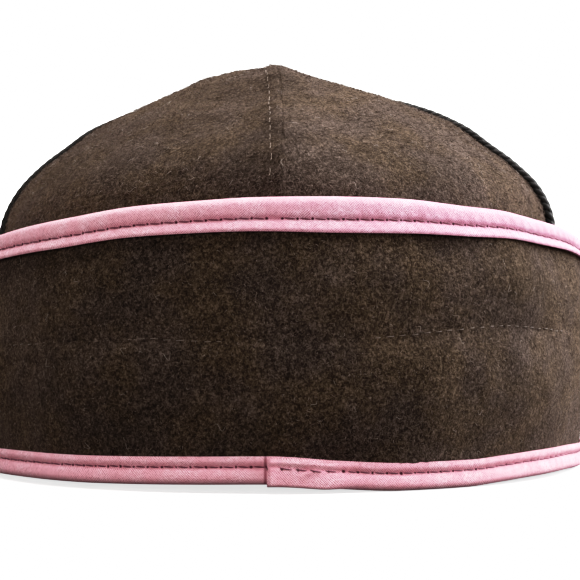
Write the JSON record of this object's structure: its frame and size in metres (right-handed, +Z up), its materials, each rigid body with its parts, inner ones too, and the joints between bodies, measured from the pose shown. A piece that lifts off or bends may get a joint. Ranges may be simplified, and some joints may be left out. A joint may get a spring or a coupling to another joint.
{
  "type": "wool earflap cap",
  "caption": "Soft wool cap with a paneled crown, a tall turned-up ear band bound in pink cotton along both edges, corded side seams and a short peak.",
  "frame": {"origin": "under the middle of the cap's bounding box, on the surface it rests on", "axes": "+Z up, the peak points along -Y, the back of the head is at +Y, the wearer's left is +X"},
  "size_m": [0.1908, 0.2694, 0.1187],
  "materials": {
    "crown_wool": "brushed, fuzzy",
    "band_wool": "brushed, fuzzy",
    "peak_wool": "brushed, fuzzy",
    "binding_cotton": "matt fine weave",
    "seam_cord": "matt twisted"
  },
  "bodies": {
    "root": {"panel_back_left": "crown_wool", "panel_side_left": "crown_wool", "panel_front_left": "crown_wool", "panel_front_right": "crown_wool", "panel_side_right": "crown_wool", "panel_back_right": "crown_wool", "seam_cord_left": "seam_cord", "seam_cord_right": "seam_cord", "ear_band": "band_wool", "binding_upper": "binding_cotton", "binding_lower": "binding_cotton", "binding_lower_lap": "binding_cotton", "peak": "peak_wool"}
  },
  "joints": []
}
